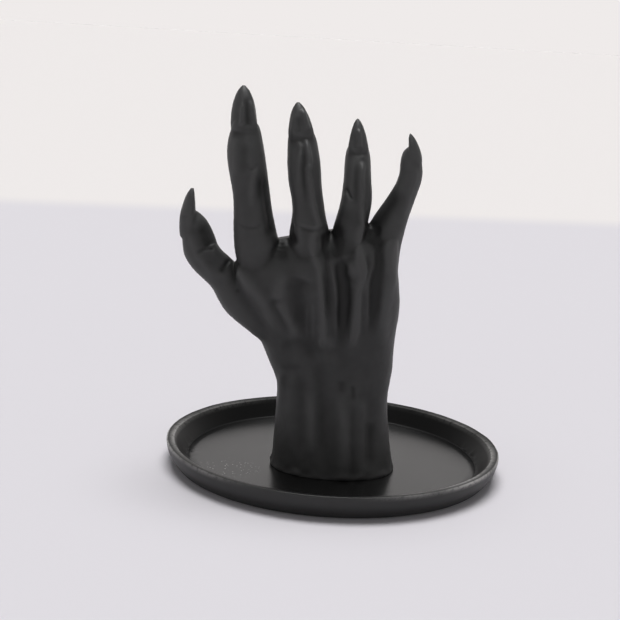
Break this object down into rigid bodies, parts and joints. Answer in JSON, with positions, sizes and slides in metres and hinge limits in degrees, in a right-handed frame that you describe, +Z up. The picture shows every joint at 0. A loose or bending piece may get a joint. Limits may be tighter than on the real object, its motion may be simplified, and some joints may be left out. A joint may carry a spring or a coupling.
{
  "type": "hand ring holder",
  "caption": "Ring holder: an upright clawed hand whose spread fingers take rings, standing in a round dish with a low rim for small jewellery.",
  "frame": {"origin": "middle of the round tray, on the surface that its four pads stand on", "axes": "+Z up through the tray, -Y out of the back of the hand, -X to the thumb side"},
  "size_m": [0.1212, 0.1212, 0.1368],
  "materials": {
    "hand_resin": "satin matt black cast resin",
    "tray_resin": "satin matt black cast resin, worn at the rim",
    "zinc_steel": "zinc plated",
    "pin_steel": "ground steel",
    "insert_brass": "plain brass",
    "pad_rubber": "matt"
  },
  "bodies": {
    "root": {"hand": "hand_resin", "tray": "tray_resin", "base_screw": "zinc_steel", "washer": "zinc_steel", "threaded_insert": "insert_brass", "locating_pin_left": "pin_steel", "locating_pin_right": "pin_steel", "foot_pad_front_right": "pad_rubber", "foot_pad_back_right": "pad_rubber", "foot_pad_back_left": "pad_rubber", "foot_pad_front_left": "pad_rubber"}
  },
  "joints": []
}
